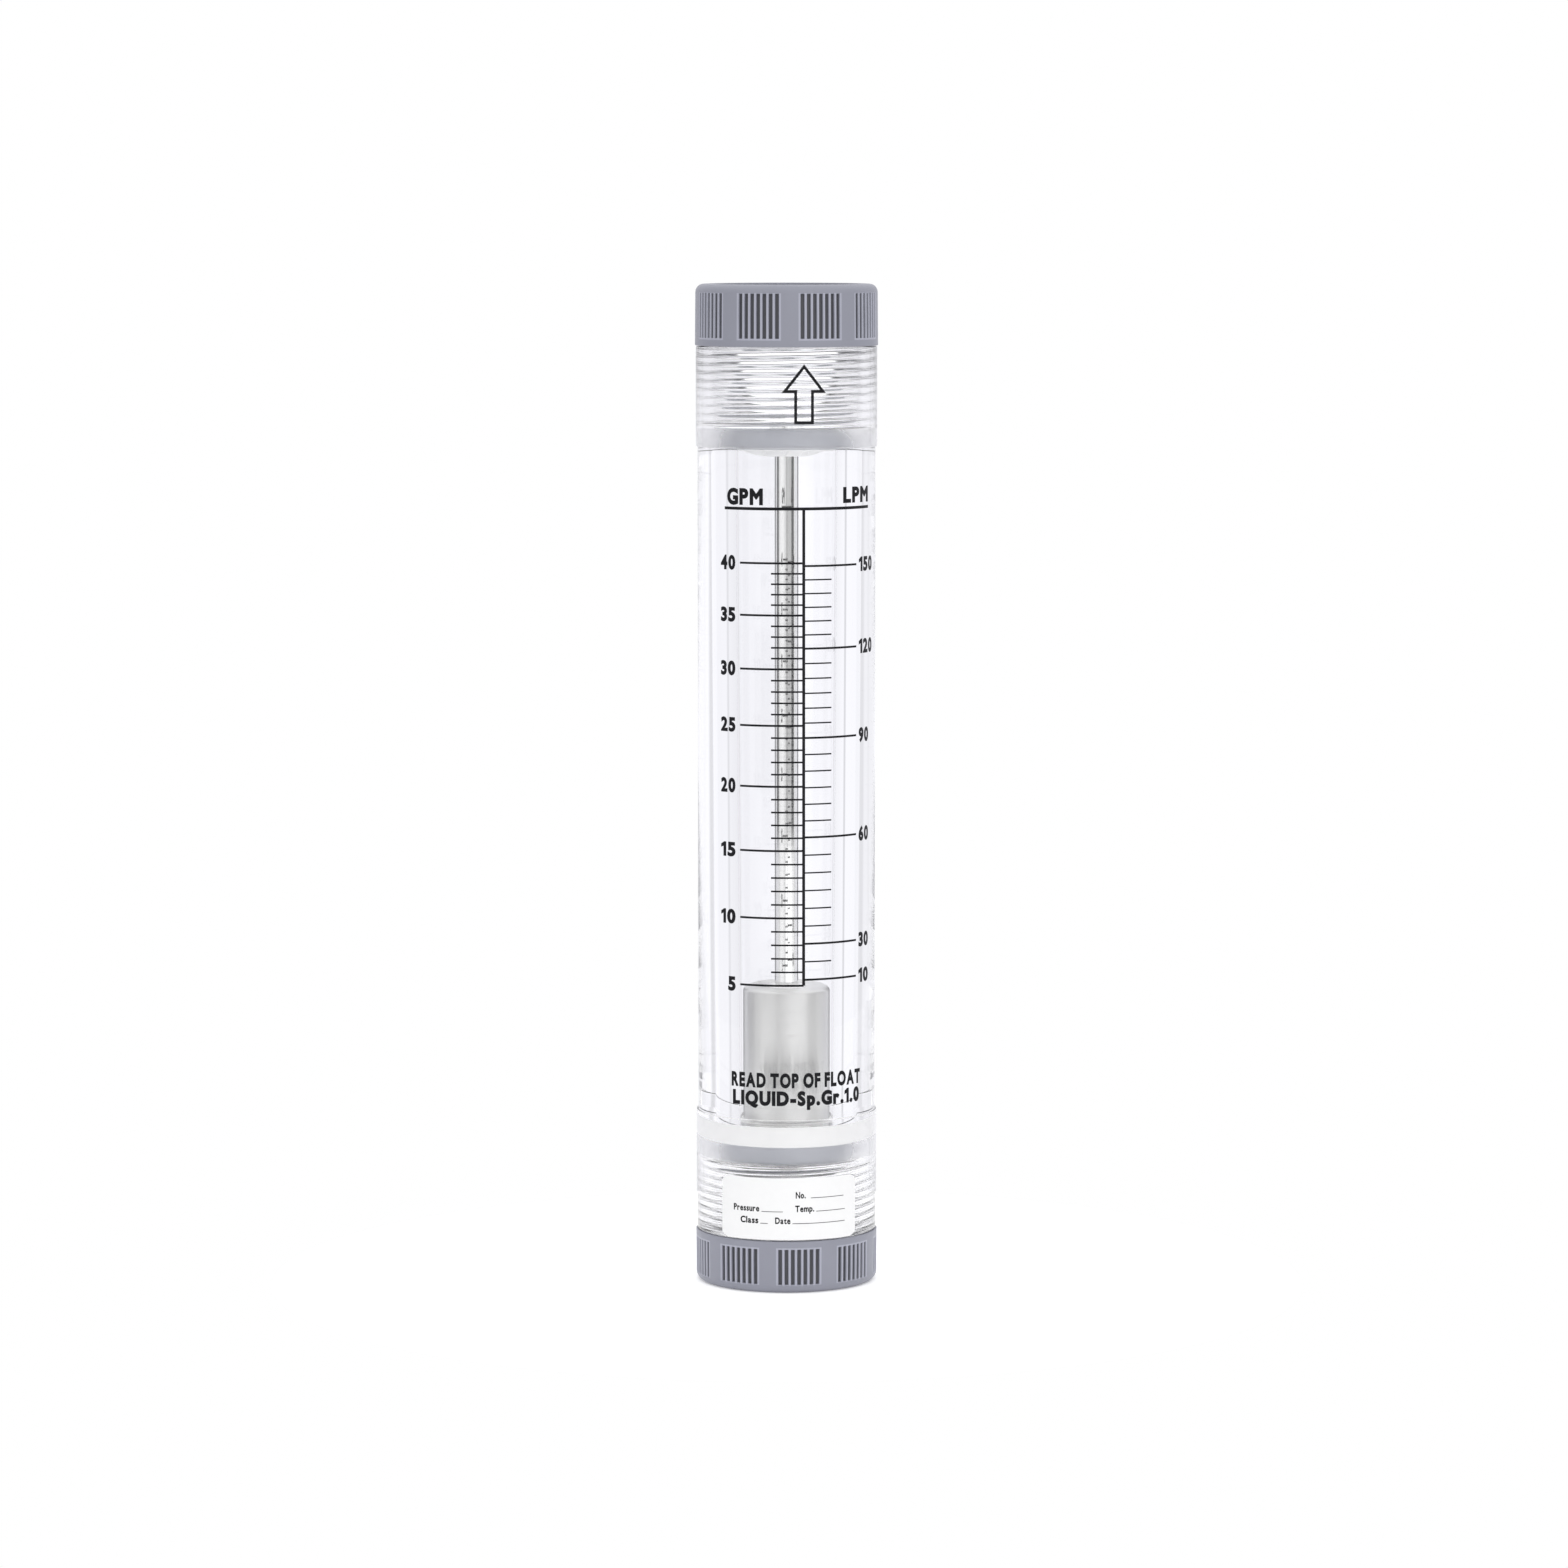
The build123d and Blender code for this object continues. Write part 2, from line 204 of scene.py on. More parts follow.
class StageSettings(bpy.types.PropertyGroup):
    """Camera and light."""

    azimuth: setting("Azimuth", -11.0, "Camera's turn, in degrees")
    elevation: setting("Elevation", 5.7, "Camera's height angle, in degrees")
    distance: setting("Distance", 1.68, "From the camera to the meter", "LENGTH")
    pixels_per_mm: setting("Scale", 3.4425, "Pixels to a millimetre at the middle")
    frame_pixels: amount("Frame", 1568, "Pixels across the picture")
    offset_right: setting("Right of centre", 2.5, "Meter's axis from the picture's centre, in pixels")
    offset_down: setting("Below centre", 0.6, "Meter's middle below the picture's centre, in pixels")
    backdrop: setting("Backdrop", 1.0, "Brightness of the surroundings")
    floor_size: setting("Floor", 0.3, "Width of the floor", "LENGTH")
    floor_glow: setting("Floor glow", 0.2, "Light of the floor's own")


# Mesh building


def grid_quads(rows, columns, close_rows, seam=None):
    """Corner numbers of the quads of a rows by columns grid whose columns close on themselves.

    Where the last column meets the first, row i meets row seam[i], or itself.
    """
    row = np.arange(rows if close_rows else rows - 1)[:, None]
    column = np.arange(columns)[None, :]
    above = (row + 1) % rows
    beside = (column + 1) % columns
    meets = np.arange(rows) if seam is None else seam
    last = column == columns - 1
    row_beside = np.where(last, meets[row], row)
    above_beside = np.where(last, meets[above], above)
    corners = [
        row * columns + column,
        row_beside * columns + beside,
        above_beside * columns + beside,
        above * columns + column,
    ]
    return np.stack([np.broadcast_to(c, (row.size, columns)) for c in corners], axis=-1).reshape(-1, 4)


def around(radius, angle, height):
    """Points (r cos a, r sin a, z) about the axis, from numbers or arrays that fit each other."""
    parts = np.broadcast_arrays(radius * np.cos(angle), radius * np.sin(angle), height)
    return np.stack(parts, axis=-1).reshape(-1, 3)


def placed(name, data):
    """A new object in the scene."""
    thing = bpy.data.objects.new(name, data)
    bpy.context.scene.collection.objects.link(thing)
    return thing


def new_object(name, points, faces, material_index=None, sharp_deg=40.0):
    """A smooth-shaded mesh object from points in millimetres, with edges above an angle left sharp."""
    mesh = bpy.data.meshes.new(name)
    mesh.from_pydata((np.asarray(points) * MM).tolist(), [], np.asarray(faces).tolist())
    if material_index is not None:
        mesh.polygons.foreach_set("material_index", material_index)
    mesh.polygons.foreach_set("use_smooth", np.ones(len(mesh.polygons), bool))
    mesh.set_sharp_from_angle(angle=math.radians(sharp_deg))
    return placed(name, mesh)


def turned(name, radius, height, angles, close_rows=True, row_material=None, sharp_deg=40.0, seam=None):
    """A turned surface: point (i, j) is (r[i, j] cos a[j], r[i, j] sin a[j], z[i, j]).

    Rows i follow the section and columns j go round the axis. Going up the outside
    and down the inside makes the faces point outwards. A row of zero radius is a pole.
    """
    columns = len(angles)
    rows = len(radius)
    points = around(np.reshape(radius, (rows, -1)), angles, np.reshape(height, (rows, -1)))
    faces = grid_quads(rows, columns, close_rows, seam)
    index = None if row_material is None else np.repeat(row_material[: len(faces) // columns], columns)
    thing = new_object(name, points, faces, index, sharp_deg)
    if np.any(radius == 0) or seam is not None:
        weld(thing.data)
    return thing


def weld(mesh):
    """Joins the points that share a place, such as those of a pole."""
    work = bmesh.new()
    work.from_mesh(mesh)
    bmesh.ops.remove_doubles(work, verts=work.verts, dist=1e-7)
    work.to_mesh(mesh)
    work.free()


def rounded(corners, steps=5):
    """Points of a closed outline of (radius, height, corner round).

    A round corner is an arc of its radius tangent to both sides: its centre lies on
    the corner's bisector, and its points turn evenly from one side to the other.
    """
    flat = np.array([c[:2] for c in corners], float)
    points = []
    for number, (x, y, size) in enumerate(corners):
        corner = flat[number]
        back = flat[number - 1] - corner
        ahead = flat[(number + 1) % len(flat)] - corner
        back /= np.linalg.norm(back)
        ahead /= np.linalg.norm(ahead)
        if size == 0:
            points.append(corner)
            continue
        half = math.acos(float(np.clip(back @ ahead, -1, 1))) / 2
        bisector = (back + ahead) / np.linalg.norm(back + ahead)
        centre = corner + bisector * size / math.sin(half)
        first = corner + back * size / math.tan(half) - centre
        last = corner + ahead * size / math.tan(half) - centre
        turn = math.atan2(first[0] * last[1] - first[1] * last[0], first @ last)
        for share in np.linspace(0, 1, steps):
            c, s = math.cos(turn * share), math.sin(turn * share)
            points.append(centre + np.array([c * first[0] - s * first[1], s * first[0] + c * first[1]]))
    return np.array(points)


def full_turn(columns):
    """Angles of evenly spaced columns round the axis."""
    return np.linspace(0, TAU, columns, endpoint=False)


# Longest face of the print round the tube, in millimetres
ARC_STEP = 0.6


def wrapped_strips(name, strips, radius, thickness):
    """Thin closed strips bent round the tube.

    A strip (s0, s1, z0, z1) runs from arc s0 to arc s1: its points are
    (r cos(front + s / R), r sin(front + s / R), z) with r = R and R + thickness.
    """
    points, faces, start = [], [], 0
    for s0, s1, z0, z1 in strips:
        count = max(2, math.ceil((s1 - s0) / ARC_STEP) + 1)
        angle = FRONT + np.linspace(s0, s1, count)[:, None] / radius
        ring = np.array([radius, radius + thickness, radius + thickness, radius])
        points.append(around(ring, angle, np.array([z0, z0, z1, z1])))
        along = np.arange(count - 1)[:, None] * 4 + start
        side = np.arange(4)[None, :]
        next_side = (side + 1) % 4
        quads = np.stack([along + side, along + side + 4, along + next_side + 4, along + next_side], -1)
        faces.append(quads.reshape(-1, 4))
        last = start + (count - 1) * 4
        ends = [[start, start + 1, start + 2, start + 3], [last + 3, last + 2, last + 1, last]]
        faces.append(np.array(ends))
        start += count * 4
    return new_object(name, np.concatenate(points), np.concatenate(faces), sharp_deg=30.0)


def flat_mesh(curve):
    """The mesh of a flat curve or a text."""
    holder = placed("flat", curve)
    bpy.context.view_layer.update()
    mesh = bpy.data.meshes.new_from_object(holder.evaluated_get(bpy.context.evaluated_depsgraph_get()))
    bpy.data.objects.remove(holder)
    bpy.data.curves.remove(curve)
    return mesh


def text_curve(words):
    """A text one unit high."""
    curve = bpy.data.curves.new("words", "FONT")
    curve.body = words
    curve.resolution_u = 4
    return curve


def corner_points(mesh):
    """The mesh's points as one array."""
    points = np.empty(len(mesh.vertices) * 3)
    mesh.vertices.foreach_get("co", points)
    return points.reshape(-1, 3)


# Smallest s . s that a corner is moved by, so that a sharp one doesn't shoot out
SHARPEST = 1.2


def embolden(mesh, weight):
    """Moves the outline of a flat mesh outwards by this much.

    An outline edge is one whose reverse belongs to no other face, and its outward
    normal is (dy, -dx) over its length. A corner moves by 2 w s / (s . s), where s is
    the sum of its two normals, which moves both its sides by w.
    """
    points = corner_points(mesh)
    start = np.empty(len(mesh.loops), int)
    mesh.loops.foreach_get("vertex_index", start)
    after = np.arange(1, len(start) + 1)
    firsts = np.empty(len(mesh.polygons), int)
    mesh.polygons.foreach_get("loop_start", firsts)
    after[np.append(firsts[1:], len(start)) - 1] = firsts
    end = start[after]
    outline = ~np.isin(start * len(points) + end, end * len(points) + start)
    a, b = points[start, :2], points[end, :2]
    facing = np.sign(np.sum(a[:, 0] * b[:, 1] - a[:, 1] * b[:, 0]))
    start, end = start[outline], end[outline]
    along = points[end, :2] - points[start, :2]
    normal = facing * np.stack([along[:, 1], -along[:, 0]], axis=-1)
    normal /= np.maximum(np.linalg.norm(normal, axis=1, keepdims=True), 1e-9)
    total = np.zeros((len(points), 2))
    np.add.at(total, start, normal)
    np.add.at(total, end, normal)
    square = np.maximum(np.sum(total**2, axis=1, keepdims=True), SHARPEST)
    points[:, :2] += 2 * weight * total / square
    mesh.vertices.foreach_set("co", points.ravel())


def capital_height():
    """Height of a capital letter in a text one unit high."""
    mesh = flat_mesh(text_curve("H"))
    height = np.ptp(corner_points(mesh)[:, 1])
    bpy.data.meshes.remove(mesh)
    return height


def glyph(character, capital):
    """The flat mesh of one character. The figure 1 gets a flag, which the face's own lacks."""
    if character != "1":
        return flat_mesh(text_curve(character))
    stem, bar, flag = 0.16, 0.075, 0.11
    points = [
        (stem, 0),
        (stem + bar, 0),
        (stem + bar, capital),
        (stem + 0.01, capital),
        (0, capital - flag),
        (0, capital - flag - bar),
        (stem, capital - flag),
    ]
    mesh = bpy.data.meshes.new("one")
    mesh.from_pydata([(x, y, 0) for x, y in points], [], [(0, 1, 2, 6), (6, 2, 3), (6, 3, 4, 5)])
    return mesh


def bent_print(name, mesh, radius, thickness):
    """A flat mesh, in millimetres, given the ink's thickness and bent round the tube.

    Point (x, y) goes to (r cos(front + x / R), r sin(front + x / R), y). The mesh is
    first cut into upright bands, so that no face runs straight under the surface.
    """
    work = bmesh.new()
    work.from_mesh(mesh)
    bpy.data.meshes.remove(mesh)
    bmesh.ops.remove_doubles(work, verts=work.verts, dist=1e-5)
    low = min(v.co.x for v in work.verts)
    high = max(v.co.x for v in work.verts)
    for cut in np.arange(low + ARC_STEP, high, ARC_STEP):
        geometry = work.verts[:] + work.edges[:] + work.faces[:]
        bmesh.ops.bisect_plane(work, geom=geometry, dist=1e-5, plane_co=(cut, 0, 0), plane_no=(1, 0, 0))
    bmesh.ops.recalc_face_normals(work, faces=work.faces)
    for face in work.faces:
        if face.normal.z < 0:
            face.normal_flip()
    raised = bmesh.ops.extrude_face_region(work, geom=work.faces[:], use_keep_orig=True)
    top = [item for item in raised["geom"] if isinstance(item, bmesh.types.BMVert)]
    bmesh.ops.translate(work, verts=top, vec=(0, 0, thickness))
    lower = [face for face in work.faces if max(v.co.z for v in face.verts) < thickness / 2]
    bmesh.ops.reverse_faces(work, faces=lower)
    thick = bpy.data.meshes.new(name)
    work.to_mesh(thick)
    work.free()
    flat = corner_points(thick)
    bent = around(radius + flat[:, 2], FRONT + flat[:, 0] / radius, flat[:, 1]) * MM
    thick.vertices.foreach_set("co", bent.ravel())
    thick.update()
    return placed(name, thick)


# Spaces in a text one unit high
WORD_SPACE = 0.28
LETTER_SPACE = 0.075


def set_words(words, centre, base, height, width, weight):
    """A flat mesh of a text, its capitals this high and the whole this wide, in millimetres."""
    capital = capital_height()
    letters, pen = [], 0.0
    for character in words:
        if character == " ":
            pen += WORD_SPACE
            continue
        letter = glyph(character, capital)
        embolden(letter, weight)
        points = corner_points(letter)
        points[:, 0] += pen - points[:, 0].min()
        pen = points[:, 0].max() + LETTER_SPACE
        letter.vertices.foreach_set("co", points.ravel())
        letters.append(letter)
    mesh = joined(letters)
    points = corner_points(mesh)
    points[:, 0] = centre + (points[:, 0] / points[:, 0].max() - 0.5) * width
    points[:, 1] = base + (points[:, 1] + weight) * height / (capital + 2 * weight)
    mesh.vertices.foreach_set("co", points.ravel())
    return mesh


def drawn_outline(corners, weight):
    """A flat mesh of a closed outline, drawn this thick inwards of its corners, which turn anticlockwise."""
    outer = np.array(corners, float)
    along = np.roll(outer, -1, axis=0) - outer
    along /= np.linalg.norm(along, axis=1, keepdims=True)
    normal = np.stack([-along[:, 1], along[:, 0]], axis=-1)
    total = normal + np.roll(normal, 1, axis=0)
    inner = outer + 2 * weight * total / np.sum(total**2, axis=1, keepdims=True)
    count = len(outer)
    points = [(x, y, 0) for x, y in np.concatenate([outer, inner])]
    after = [(number + 1) % count for number in range(count)]
    faces = [(number, after[number], after[number] + count, number + count) for number in range(count)]
    mesh = bpy.data.meshes.new("outline")
    mesh.from_pydata(points, [], faces)
    return mesh


def joined(meshes):
    """One mesh from several."""
    work = bmesh.new()
    for mesh in meshes:
        work.from_mesh(mesh)
        bpy.data.meshes.remove(mesh)
    whole = bpy.data.meshes.new("joined")
    work.to_mesh(whole)
    work.free()
    return whole


# Materials


def principled(name, color, roughness, **sockets):
    """A new material with a Principled shader, its constant values on its own sockets."""
    material = bpy.data.materials.new(name)
    material.use_nodes = True
    values = {"Base Color": (*color, 1), "Roughness": roughness, **sockets}
    for socket, value in values.items():
        material.node_tree.nodes["Principled BSDF"].inputs[socket.replace("_", " ")].default_value = value
    return material


def feed(material, socket, value):
    """Links a value to a socket of the material's Principled shader."""
    material.node_tree.links.new(value, material.node_tree.nodes["Principled BSDF"].inputs[socket])


def add_node(owner, kind, inputs, **values):
    """A node of a material or a world, its inputs set to values or linked to sockets."""
    node = owner.node_tree.nodes.new(kind)
    for key, value in values.items():
        setattr(node, key, value)
    for key, value in inputs.items():
        if isinstance(value, bpy.types.NodeSocket):
            owner.node_tree.links.new(value, node.inputs[key])
        else:
            node.inputs[key].default_value = value
    return node


def noise(material, scale, detail=3.0, stretch=(1, 1, 1)):
    """Noise on the object's own coordinates, stretched along its axes."""
    place = add_node(material, "ShaderNodeTexCoord", {})
    mapping = add_node(material, "ShaderNodeMapping", {"Vector": place.outputs["Object"], "Scale": stretch})
    inputs = {"Vector": mapping.outputs["Vector"], "Scale": scale, "Detail": detail}
    return add_node(material, "ShaderNodeTexNoise", inputs).outputs["Fac"]


def spread(owner, value, low, high, first=0.0, last=1.0):
    """A value from first to last spread from low to high, and held there beyond them."""
    inputs = {"Value": value, "To Min": low, "To Max": high, "From Min": first, "From Max": last}
    return add_node(owner, "ShaderNodeMapRange", inputs).outputs["Result"]


def mixed(owner, factor, first, second, blend="MIX"):
    """Two colours mixed, or blended another way, by a factor."""
    inputs = {"Factor": factor, "A": first, "B": second}
    return add_node(owner, "ShaderNodeMix", inputs, data_type="RGBA", blend_type=blend).outputs["Result"]


def bump(material, value, distance):
    """Relief of this height, in metres, from a value."""
    inputs = {"Height": value, "Distance": distance, "Strength": 1.0}
    feed(material, "Normal", add_node(material, "ShaderNodeBump", inputs).outputs["Normal"])


def shade(material, color, value, change):
    """Base colour that wanders by a share around its own value."""
    darker = (*[c * (1 - change) for c in color], 1)
    paler = (*[min(1, c * (1 + change)) for c in color], 1)
    feed(material, "Base Color", mixed(material, value, darker, paler))


def mottled(name, color, roughness, change, grain, **sockets):
    """A material whose colour wanders by a share, over noise of this scale, detail and stretch."""
    material = principled(name, color, roughness, **sockets)
    shade(material, color, noise(material, *grain), change)
    return material


def clear_acrylic(name, color, roughness, index=1.49):
    """Clear acrylic that lets the light through."""
    return principled(name, color, roughness, IOR=index, Transmission_Weight=1.0)


def moulded_plastic(name, color, roughness=0.42):
    """Satin moulded plastic with a fine sparked grain."""
    material = mottled(name, color, roughness, change=0.05, grain=(90, 4.0))
    grain = noise(material, 600, 2.0)
    feed(material, "Roughness", spread(material, grain, roughness - 0.06, roughness + 0.08))
    bump(material, noise(material, 3500, 2.0), 1e-5)
    return material


def grip_plastic(color, highlight_share, shade_share):
    """Moulded plastic with a painted highlight on the lands and rims of the grip and painted shade at the
    bottom of its grooves.
    """
    material = moulded_plastic("cap_plastic", color)
    target = material.node_tree.nodes["Principled BSDF"].inputs["Base Color"]
    # First the painted highlight on the lands and rims, then the painted shade at the bottom of the grooves
    for place, share in (("land", highlight_share), ("groove", shade_share)):
        mask = add_node(material, "ShaderNodeAttribute", {}, attribute_name=place)
        tint = (*[c * share for c in color], 1)
        feed(material, "Base Color", mixed(material, mask.outputs["Fac"], target.links[0].from_socket, tint))
    return material


def turned_steel(name, color, roughness, ring_scale, relief, grain=0.0):
    """Steel with the fine rings that a turning tool or a grinding belt leaves.

    The rings run round the axis, so they spread a reflection along it.
    """
    material = principled(name, color, roughness, Metallic=1.0, Anisotropic=grain, Anisotropic_Rotation=0.25)
    tangent = add_node(material, "ShaderNodeTangent", {}, direction_type="RADIAL", axis="Z")
    feed(material, "Tangent", tangent.outputs["Tangent"])
    rings = noise(material, ring_scale, 2.0, (0.02, 0.02, 1))
    feed(material, "Roughness", spread(material, rings, roughness * 0.7, roughness * 1.4))
    bump(material, rings, relief)
    return material


def printed_ink(name, color):
    """Screen-printed ink, a little uneven."""
    material = mottled(name, color, 0.4, change=0.4, grain=(700,), Specular_IOR_Level=0.12)
    feed(material, "Roughness", spread(material, noise(material, 1500, 2.0), 0.3, 0.5))
    return material


def finishes():
    """All the materials by name, made once."""
    made = bpy.data.materials
    if "polished_acrylic" not in made:
        colors = bpy.context.scene.meter_finish
        clear_acrylic("polished_acrylic", colors.acrylic, 0.0)
        # The thread's index is lower than acrylic's own, a choice of look
        clear_acrylic("cut_acrylic", colors.acrylic, 0.12, index=1.35)
        clear_acrylic("satin_acrylic", colors.acrylic, 0.4)
        # The grip's lands get a painted highlight and its groove bottoms painted shade
        grip_plastic(colors.abs_grey, highlight_share=1.45, shade_share=0.2)
        moulded_plastic("guide_plastic", colors.guide_grey)
        # The nylon glows a little, for the light that passes through it
        turning = (300, 2.0, (0.1, 0.1, 4))
        mottled("turned_nylon", colors.nylon, 0.38, change=0.02, grain=turning, Emission_Strength=0.17)
        mottled("moulded_rubber", colors.rubber, 0.55, change=0.3, grain=(400,))
        turned_steel("rod_steel", colors.ground, 0.05, ring_scale=2500, relief=2e-7)
        turned_steel("float_steel", colors.turned, 0.36, ring_scale=1500, relief=1e-6, grain=0.9)
        mottled("satin_film", colors.film, 0.34, change=0.02, grain=(500,))
        printed_ink("black_ink", colors.ink)
    return made


def fit_out(piece, body, slot, *materials, stands_for=()):
    """Gives a new piece its materials, its body and the CAD nodes that it stands for. The slot is not used.
    """
    for name in materials:
        piece.data.materials.append(finishes()[name])
    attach(piece, body)
    if stands_for:
        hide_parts(*stands_for)


def printed(piece):
    """Makes a new piece a print on the housing."""
    fit_out(piece, "housing", None, "black_ink")


def finish_node(node, material):
    """Gives a CAD node that stays its better material."""
    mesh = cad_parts[node].data
    mesh.materials.clear()
    mesh.materials.append(finishes()[material])


# Pieces


def thread_shape(turns):
    """Rounded pipe thread, from 0 at a crest to 1 at a root, against the number of turns.

    The flanks are straight at 27.5 degrees; crests and roots are arcs of 0.1373 of
    the pitch, tangent to them. The sharp triangle is 0.9605 of the pitch high, the
    thread 0.6403.
    """
    triangle, depth, arc = 0.960491, 0.640327, 0.137329
    reach = arc * math.cos(math.radians(27.5))
    offset = np.abs(turns - np.round(turns))
    flank = triangle * (0.5 - 2 * offset)
    root = depth / 2 - arc + np.sqrt(np.maximum(arc**2 - np.minimum(offset, reach) ** 2, 0))
    far = np.minimum(0.5 - offset, reach)
    crest = -(depth / 2 - arc + np.sqrt(np.maximum(arc**2 - far**2, 0)))
    height = np.where(offset < reach, root, np.where(offset > 0.5 - reach, crest, flank))
    return height / depth + 0.5


def thread_rows(size, depth, angles, end):
    """Radius and height of a port's threaded wall, from its mouth inwards.

    The rows follow the right-handed helix: row i is at z = z0 + pitch (i / n + a / turn),
    held between the mouth and the wall's end. r = the larger of the mouth's chamfer and
    crest + (root - crest) * shape(z / pitch - a / turn), and the turns fade out over the
    last half.
    """
    pitch, count = size.thread_pitch, size.rows_per_turn
    climb = pitch * angles[None, :] / TAU
    step = np.arange(math.ceil(depth / pitch * count) + count + 1)[:, None] * pitch / count
    if end == "lower":
        inwards = np.clip(step - pitch + climb, 0, depth)
        height = TUBE_LOW + inwards
    else:
        inwards = np.clip(step - climb, 0, depth)
        height = TUBE_HIGH - inwards
    seat = GUIDE_RADIUS + size.seat_gap
    crest = np.interp(inwards, [size.thread_full, size.thread_full + 1], [size.thread_crest, seat])
    fade = np.clip((depth - inwards) / (0.5 * pitch), 0, 1)
    shape = thread_shape(height / pitch - angles[None, :] / TAU)
    radius = crest + (size.thread_root - crest) * shape * fade
    chamfer = size.thread_crest + size.mouth_chamfer - inwards
    return np.maximum(radius, chamfer), height


class MESH_OT_meter_tube(bpy.types.Operator):
    """Clear tube with its collars, tapered bore and a pipe thread in each end"""

    bl_idname = "mesh.meter_tube"
    bl_label = "Clear tube"

    def execute(self, context):
        size = context.scene.meter_tube
        angles = full_turn(size.columns)
        spigot = COLLAR_RADIUS - size.spigot_step
        body = COLLAR_RADIUS - size.body_step
        low_collar = CAP_HEIGHT["lower"] + size.collar_gap
        high_collar = OVERALL - CAP_HEIGHT["upper"] - size.collar_gap
        upper_edge = OVERALL - size.upper_collar_drop
        mouth = size.thread_crest + size.mouth_chamfer
        seat = GUIDE_RADIUS + size.seat_gap
        end_round, inner_round, collar_round, foot_round = 0.25, 0.15, 0.4, 0.05
        outside = rounded(
            [
                (mouth, TUBE_LOW, 0),
                (spigot, TUBE_LOW, end_round),
                (spigot, low_collar, inner_round),
                (COLLAR_RADIUS, low_collar, collar_round),
                (COLLAR_RADIUS, size.lower_collar_top, collar_round),
                (body, size.lower_collar_top, foot_round),
                (body, upper_edge, foot_round),
                (COLLAR_RADIUS, upper_edge, collar_round),
                (COLLAR_RADIUS, high_collar, collar_round),
                (spigot, high_collar, inner_round),
                (spigot, TUBE_HIGH, end_round),
                (mouth, TUBE_HIGH, 0),
            ]
        )[1:-1]
        lower_depth = LOWER_GUIDE_LOW - size.thread_end_gap - TUBE_LOW
        upper_depth = TUBE_HIGH - UPPER_GUIDE_HIGH - size.thread_end_gap
        lower_r, lower_z = thread_rows(size, lower_depth, angles, "lower")
        upper_r, upper_z = thread_rows(size, upper_depth, angles, "upper")
        levels = np.linspace(0, 1, 13)
        taper_r = size.bore_top + (size.bore_bottom - size.bore_top) * levels
        bore_low = LOWER_SHOULDER + size.shoulder_gap
        bore_high = UPPER_GUIDE_LOW - size.shoulder_gap
        taper_z = bore_high + (bore_low - bore_high) * levels
        snug = GUIDE_RADIUS - size.ring_bite
        wall_r = np.concatenate([[seat], taper_r, [snug, snug, seat]])
        wall_z = np.concatenate([[bore_high], taper_z, [bore_low, LOWER_GUIDE_HIGH, LOWER_GUIDE_HIGH]])

        def all_columns(values):
            return np.broadcast_to(np.reshape(values, (-1, 1)), (len(values), len(angles)))

        radius = np.concatenate([all_columns(outside[:, 0]), upper_r, all_columns(wall_r), lower_r[::-1]])
        height = np.concatenate([all_columns(outside[:, 1]), upper_z, all_columns(wall_z), lower_z[::-1]])
        row_material = np.zeros(len(radius), int)
        seam = np.arange(len(radius))
        upper_rows = (len(outside), len(outside) + len(upper_r))
        lower_rows = (len(radius) - len(lower_r), len(radius))
        for first, last in (upper_rows, lower_rows):
            row_material[first:last] = 1
            seam[first:last] = np.maximum(seam[first:last] - size.rows_per_turn, first)
        row_material[[upper_rows[1] - 1, lower_rows[0] - 1]] = 2
        tube = turned("clear_tube", radius, height, angles, True, row_material, 50.0, seam)
        finish = ("polished_acrylic", "cut_acrylic", "satin_acrylic")
        fit_out(tube, "housing", "clear_acrylic", *finish, stands_for=["metering_tube"])
        return {"FINISHED"}


def grip_columns(size, turn):
    """Angles round a cap, with ten to a groove, and each one's share of the groove and of the grip's painted
    highlight.

    The share is a smooth step of how far the arc s from the groove's middle falls
    short of half the width: 3 t^2 - 2 t^3 with t = (w / 2 + e / 2 - |s|) / e.
    """
    half = size.groove_width / 2
    edge = size.groove_edge
    across = np.array([half + edge, half + edge / 2, half + edge / 6, half - edge / 6, half - edge / 2])
    across = np.concatenate([-across, across[::-1]])
    share = np.clip((half + edge / 2 - np.abs(across)) / edge, 0, 1)
    share = share * share * (3 - 2 * share)
    middle = (size.grooves - 1) / 2
    group = TAU / size.groups * np.arange(size.groups)[:, None, None]
    groove = np.radians((np.arange(size.grooves) - middle) * size.groove_pitch)[None, :, None]
    angles = math.radians(turn) + group + groove + (across / size.radius)[None, None, :]
    depth = np.broadcast_to(share, angles.shape)
    reach = angles[0, -1, -1] - math.radians(turn)
    gap = TAU / size.groups - 2 * reach
    rim = size.grip_rim / size.radius
    across = np.concatenate([[rim], np.linspace(rim * 1.5, gap - rim * 1.5, 5), [gap - rim]])
    plain = math.radians(turn) + group[:, :, 0] + reach + across[None, :]
    # The painted highlight covers the groove columns and one rim column at each side of the plain stretch
    painted_highlight = np.broadcast_to([1, 0, 0, 0, 0, 0, 1], plain.shape)
    angles = np.concatenate([angles.reshape(size.groups, -1), plain], axis=1)
    depth = depth.reshape(size.groups, -1)
    painted_highlight = np.concatenate([np.ones_like(depth), painted_highlight], axis=1)
    depth = np.concatenate([depth, np.zeros_like(plain)], axis=1)
    return angles.ravel(), depth.ravel(), painted_highlight.ravel()


